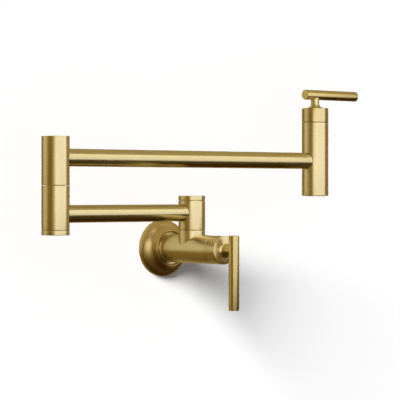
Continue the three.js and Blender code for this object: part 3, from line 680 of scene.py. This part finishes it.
def hub(name):
    """A hub with its flared neck, hollow below, with the hole of its set screw."""
    flare = [
        (NECK + FLARE * (1 - math.sin(a)), HUB_HEIGHT + FLARE * (1 - math.cos(a)))
        for a in (math.pi / 2 * k / FLARE_STEPS for k in range(FLARE_STEPS + 1))
    ]
    skin = rounded([
        (SPLINE_BORE, BOSS_FOOT, 0), (HUB_BOSS, BOSS_FOOT, 0), (HUB_BOSS, HUB_RECESS, 0),
        (HUB_BORE, HUB_RECESS, 0), (HUB_BORE, GAP / 2, 0), (HOUSING, GAP / 2, EDGE),
        (HOUSING, HUB_HEIGHT - HUB_CROWN, EDGE), (flare[0][0], HUB_HEIGHT, 0),
    ])
    outline = skin[:-1] + flare + [
        (NECK, BAR_HEIGHT), (0, BAR_HEIGHT), (0, SPLINE_DEPTH), (SPLINE_BORE, SPLINE_DEPTH),
    ]
    hole_size = SCREW + GAP / 2
    hole = turned("hole", [
        (0, SCREW_HOLE_FROM), (hole_size, SCREW_HOLE_FROM), (hole_size, SCREW_HOLE_TO),
        (0, SCREW_HOLE_TO),
    ], COARSE_ROUND)
    moved(hole, at(0, 0, SCREW_HEIGHT, about("Y", 90)))
    return combined(turned(name, outline, shape=neck_saddle), "DIFFERENCE", hole)


def bar(name):
    return turned(name, rounded([
        (0, -BAR_SHORT, 0), (BAR, -BAR_SHORT, EDGE), (BAR, BAR_LONG, EDGE), (0, BAR_LONG, 0),
    ]))


def set_screw(name):
    screw = turned(name, rounded([
        (0, SCREW_FROM, 0), (SCREW, SCREW_FROM, FINE_EDGE), (SCREW, SCREW_TO, FINE_EDGE),
        (0, SCREW_TO, 0),
    ]), COARSE_ROUND)
    key_foot, key_top = SCREW_TO - KEY_DEPTH, SCREW_TO + OVERLAP
    key = turned("key", [(0, key_foot), (KEY, key_foot), (KEY, key_top), (0, key_top)], HEXAGON)
    return combined(screw, "DIFFERENCE", key)


for prefix, place in (("wall", wall_handle), ("outlet", outlet_handle)):
    rider = f"{prefix}_handle"
    dress(hub(f"{prefix}_hub_skin"), place, rider, f"{prefix}_handle_hub", material=hub_satin_painted_shade)
    dress(bar(f"{prefix}_bar_skin"), place @ at(0, 0, BAR_HEIGHT, about("Y", 90)), rider,
          f"{prefix}_handle_bar", material=bar_satin_painted_shade)
    dress(set_screw(f"{prefix}_screw_skin"), place @ at(0, 0, SCREW_HEIGHT, about("Y", 90)), rider,
          f"{prefix}_set_screw", slot="steel")

# ---------------------------------------------------------------------------------------------
# Outlet column and aerator
# ---------------------------------------------------------------------------------------------

seat = COLUMN_TOP - SEAT_TO_SEAM
bonnet_foot = seat + CHAMBER_DEPTH
column_top = COLUMN_TOP - GAP / 2
aerator_seat_top = COLUMN_FOOT + AERATOR_SEAT_TOP
column = turned("column_skin", rounded([
    (AERATOR_SEAT, COLUMN_FOOT, 0), (HOUSING, COLUMN_FOOT, EDGE), (HOUSING, column_top, EDGE),
    (BONNET, column_top, 0), (BONNET, bonnet_foot, 0), (CHAMBER, bonnet_foot, 0),
    (CHAMBER, seat, 0), (WATERWAY, seat, 0), (WATERWAY, aerator_seat_top, 0),
    (AERATOR_SEAT, aerator_seat_top, 0),
]))
dress(combined(column, "DIFFERENCE", pocket(HOUSING, 0, -1)), outlet, "outer_arm", "outlet_column")

aerator = turned("aerator_skin", rounded([
    (AERATOR_MOUTH, AERATOR_FOOT, FINE_EDGE), (AERATOR, AERATOR_FOOT, FINE_EDGE),
    (AERATOR, AERATOR_TOP, 0), (AERATOR_BORE, AERATOR_TOP, 0), (AERATOR_BORE, AERATOR_LEDGE, 0),
    (AERATOR_MOUTH, AERATOR_LEDGE, 0),
]))
dress(aerator, outlet @ at(0, 0, COLUMN_FOOT), "outer_arm", "aerator_housing")

# The pieces inside keep their CAD shapes and take the finishes of their slots.
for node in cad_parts.values():
    for held in node.material_slots:
        kind = next((slot for slot in finishes if held.material.name.startswith(slot)), None)
        held.material = finishes[kind or "plain_brass"]

# ---------------------------------------------------------------------------------------------
# Stage: wall, floor, studio cards, lamps and camera, in metres
# ---------------------------------------------------------------------------------------------

WHITE = (1, 1, 1)
WALL_WIDE, WALL_HIGH, FLOOR_DOWN, FLOOR_DEEP = 3.0, 2.2, 0.75, 5.0
WALL_PAINT, FLOOR_PAINT = (0.93, 0.93, 0.93), (0.86, 0.86, 0.85)


def sheet(name, corners):
    mesh = bpy.data.meshes.new(name)
    mesh.from_pydata(corners, [], [tuple(range(len(corners)))])
    piece = bpy.data.objects.new(name, mesh)
    bpy.context.scene.collection.objects.link(piece)
    return piece


def one_sided(name, colour):
    """Plain paint that is only there from its front."""
    material, tree, shader = new_material(name)
    paint = add(tree, "ShaderNodeBsdfDiffuse", {"Color": (*colour, 1)})
    clear = add(tree, "ShaderNodeBsdfTransparent")
    behind = add(tree, "ShaderNodeNewGeometry").outputs["Backfacing"]
    mix = add(tree, "ShaderNodeMixShader", {0: behind, 1: paint.outputs[0], 2: clear.outputs[0]})
    tree.links.new(mix.outputs[0], tree.nodes["Material Output"].inputs[0])
    tree.nodes.remove(shader)
    return material


wall = sheet("wall", [
    (-WALL_WIDE, 0, -FLOOR_DOWN), (WALL_WIDE, 0, -FLOOR_DOWN), (WALL_WIDE, 0, WALL_HIGH),
    (-WALL_WIDE, 0, WALL_HIGH),
])
floor = sheet("floor", [
    (-WALL_WIDE, -FLOOR_DEEP, -FLOOR_DOWN), (WALL_WIDE, -FLOOR_DEEP, -FLOOR_DOWN),
    (WALL_WIDE, 0, -FLOOR_DOWN), (-WALL_WIDE, 0, -FLOOR_DOWN),
])
wall.data.materials.append(one_sided("wall_paint", WALL_PAINT))
floor.data.materials.append(one_sided("floor_paint", FLOOR_PAINT))
wall.visible_glossy = False
floor.visible_glossy = floor.visible_diffuse = False

# A ball of grey cards, brighter towards its ceiling. Its limits are sines of the elevation.
CARDS_RADIUS = 4.5
BASE_LEVEL, CEILING_LEVEL = 0.17, 0.24
CEILING_FROM, CEILING_TO = 0.2, 0.65
DARK_BELOW, FULL_ABOVE = -0.34, 0.02
EXTRA_BELOW, NO_EXTRA_ABOVE = -0.33, -0.06
LEAST_LEVEL = 0.045
GREEN_POWER, BLUE_POWER = 1.3, 2.15  # they turn the dim cards brown

# The cards round the horizon: heading in degrees (0 is out from the wall, 90 is right), the cosines
# from that heading where the card is full and where it ends, and its level.
LEFT_CARD = (-130, 1, 0.76, 0.27)
RIGHT_CARD = (102, 0.97, 0.85, 0.12)
LOW_CARD = (-155, 0.95, 0.35, 0.19)
CORNER_CARD = (150, 0.97, 0.6, 0.4)
SIDE_CARD = (-42, 0.95, 0.6, 0.3)

# The dips have the share of the light that they leave in place of a level.
FRONT_DIP = (10, 0.95, 0.75, 0.15)
WALL_DIP = (-164, 0.99, 0.94, 0.45)

# A flag before the lamps: its plane, sides and foot, and (x, z) of its slanting upper edge
FLAG_PLANE, FLAG_LEFT, FLAG_RIGHT, FLAG_FOOT = -0.3, -0.3, 0.7, -0.5
FLAG_EDGE = (FLAG_RIGHT, 0.01), (0.16, -0.015), (0.05, -0.068), (FLAG_LEFT, -0.19)
FLAG_COLOUR = (0.059, 0.039, 0.0045)


def lobe(tree, direction, degrees, full, none):
    """1 towards a heading on the horizon, fading out over a cone."""
    heading = math.radians(degrees)
    dot = add(tree, "ShaderNodeVectorMath",
              {0: direction, 1: (math.sin(heading), -math.cos(heading), 0)}, operation="DOT_PRODUCT")
    return remap(tree, dot.outputs["Value"], none, full, 0, 1, True)


def card(tree, direction, degrees, full, none, level):
    return math_node(tree, "MULTIPLY", lobe(tree, direction, degrees, full, none), level)


def dip(tree, direction, degrees, full, none, share):
    return remap(tree, lobe(tree, direction, degrees, full, none), 0, 1, 1, share)


def card_material(name):
    """A material that only glows, and the socket of its colour."""
    material, tree, shader = new_material(name)
    tree.nodes.remove(shader)
    glow = add(tree, "ShaderNodeEmission", {"Strength": 1.0})
    tree.links.new(glow.outputs[0], tree.nodes["Material Output"].inputs[0])
    return material, glow.inputs["Color"]


def only_reflected(piece, material):
    piece.data.materials.append(material)
    piece.visible_camera = piece.visible_diffuse = piece.visible_shadow = False
    piece.visible_transmission = piece.visible_volume_scatter = False


def studio_cards():
    """Cards all round that only reflections see: grey above, dark in front and mostly dark below."""
    bpy.ops.mesh.primitive_uv_sphere_add(segments=48, ring_count=24, radius=CARDS_RADIUS)
    cards = bpy.context.object
    cards.name = "studio_cards"
    material, colour = card_material("card_light")
    tree = material.node_tree
    spot = add(tree, "ShaderNodeTexCoord").outputs["Object"]
    direction = vector_node(tree, "NORMALIZE", spot)
    rise = add(tree, "ShaderNodeSeparateXYZ", {0: direction}).outputs["Z"]
    ceiling = remap(tree, rise, CEILING_FROM, CEILING_TO, 0, CEILING_LEVEL, True)
    level = math_node(tree, "ADD", BASE_LEVEL, ceiling)
    sides = math_node(tree, "ADD", card(tree, direction, *LEFT_CARD),
                      card(tree, direction, *RIGHT_CARD))
    level = math_node(tree, "ADD", level, sides)
    above = remap(tree, rise, DARK_BELOW, FULL_ABOVE, 0, 1, True)
    level = math_node(tree, "MULTIPLY", level, above)
    level = math_node(tree, "MULTIPLY", level, dip(tree, direction, *FRONT_DIP))
    below = remap(tree, rise, EXTRA_BELOW, NO_EXTRA_ABOVE, 1, 0, True)
    extra = math_node(tree, "ADD", card(tree, direction, *CORNER_CARD),
                      card(tree, direction, *SIDE_CARD))
    extra = math_node(tree, "MULTIPLY", extra, below)
    extra = math_node(tree, "ADD", card(tree, direction, *LOW_CARD), extra)
    level = math_node(tree, "ADD", level, extra)
    level = math_node(tree, "MULTIPLY", level, dip(tree, direction, *WALL_DIP))
    level = math_node(tree, "ADD", level, LEAST_LEVEL)
    warm = add(tree, "ShaderNodeCombineColor", {
        0: level,
        1: math_node(tree, "POWER", level, GREEN_POWER),
        2: math_node(tree, "POWER", level, BLUE_POWER),
    }).outputs[0]
    tree.links.new(warm, colour)
    only_reflected(cards, material)


def low_flag():
    """A dark card before the lamps, with a slanting upper edge, that only reflections see."""
    edge = (FLAG_LEFT, FLAG_FOOT), (FLAG_RIGHT, FLAG_FOOT), *FLAG_EDGE
    flag = sheet("low_flag", [(x, FLAG_PLANE, z) for x, z in edge])
    material, colour = card_material("flag_cloth")
    colour.default_value = (*FLAG_COLOUR, 1)
    only_reflected(flag, material)


studio_cards()
low_flag()

LAMP_PLANE = -0.556  # y of the softboxes, which all face the wall
AMBER = (1, 0.8, 0.35)


def softbox(name, x, z, size, radiance, colour=WHITE):
    """A lamp that lights only reflections."""
    lamp = bpy.data.lights.new(name, "AREA")
    lamp.color = colour
    lamp.shape = "RECTANGLE"
    lamp.size, lamp.size_y = size
    lamp.energy = radiance * math.pi * size[0] * size[1]
    holder = bpy.data.objects.new(name, lamp)
    holder.location = (x, LAMP_PLANE, z)
    holder.rotation_euler = Vector((0, 1, 0)).to_track_quat("-Z", "Y").to_euler()
    holder.visible_diffuse = False
    bpy.context.scene.collection.objects.link(holder)


softbox("main_softbox", 0.32, 0.26, (1.04, 0.72), 1.02)
softbox("side_softbox", -0.4, 0.1, (0.4, 0.4), 1.05)
softbox("edge_softbox", -0.78, 0.1, (0.36, 0.4), 0.4, AMBER)

KEY_ENERGY, KEY_ANGLE = 8.25, 32
KEY_DIRECTION = (2.5, 1.0, -1.21)

sun = bpy.data.lights.new("wall_key", "SUN")
sun.energy = KEY_ENERGY
sun.angle = math.radians(KEY_ANGLE)
key = bpy.data.objects.new("wall_key", sun)
key.rotation_euler = Vector(KEY_DIRECTION).to_track_quat("-Z", "Y").to_euler()
key.visible_glossy = False
shadow_casters = bpy.data.collections.new("shadow_casters")
for piece in fixed_pieces:
    shadow_casters.objects.link(piece)
key.light_linking.blocker_collection = shadow_casters
bpy.context.scene.collection.objects.link(key)

# The world is white where it is seen, and gives the wall and the floor only a soft light.
WORLD_LIT, WORLD_SEEN = 0.19, 1.0

world = bpy.data.worlds.new("world")
bpy.context.scene.world = world
world.use_nodes = True
tree = world.node_tree
rays = add(tree, "ShaderNodeLightPath").outputs
seen = math_node(tree, "MAXIMUM", rays["Is Camera Ray"],
                 math_node(tree, "MAXIMUM", rays["Is Glossy Ray"], rays["Is Transmission Ray"]))
strength = remap(tree, seen, 0, 1, WORLD_LIT, WORLD_SEEN)
tree.links.new(strength, tree.nodes["Background"].inputs["Strength"])
tree.nodes["Background"].inputs["Color"].default_value = (*WHITE, 1)

# The camera of the photo, solved from the vanishing points of the arms, the columns and the barrel
LENS, SENSOR, SHIFT = 167.28, 36, -0.02225
CAMERA_PLACE = (-1.31366, -1.6838, 0.06518)
CAMERA_HEADING = -39.16

camera_data = bpy.data.cameras.new("camera")
camera_data.lens = LENS
camera_data.sensor_width = SENSOR
camera_data.shift_y = SHIFT
camera = bpy.data.objects.new("camera", camera_data)
camera.location = CAMERA_PLACE
camera.rotation_euler = (math.radians(90), 0, math.radians(CAMERA_HEADING))
bpy.context.scene.collection.objects.link(camera)
bpy.context.scene.camera = camera

bpy.context.scene.view_settings.view_transform = "Standard"
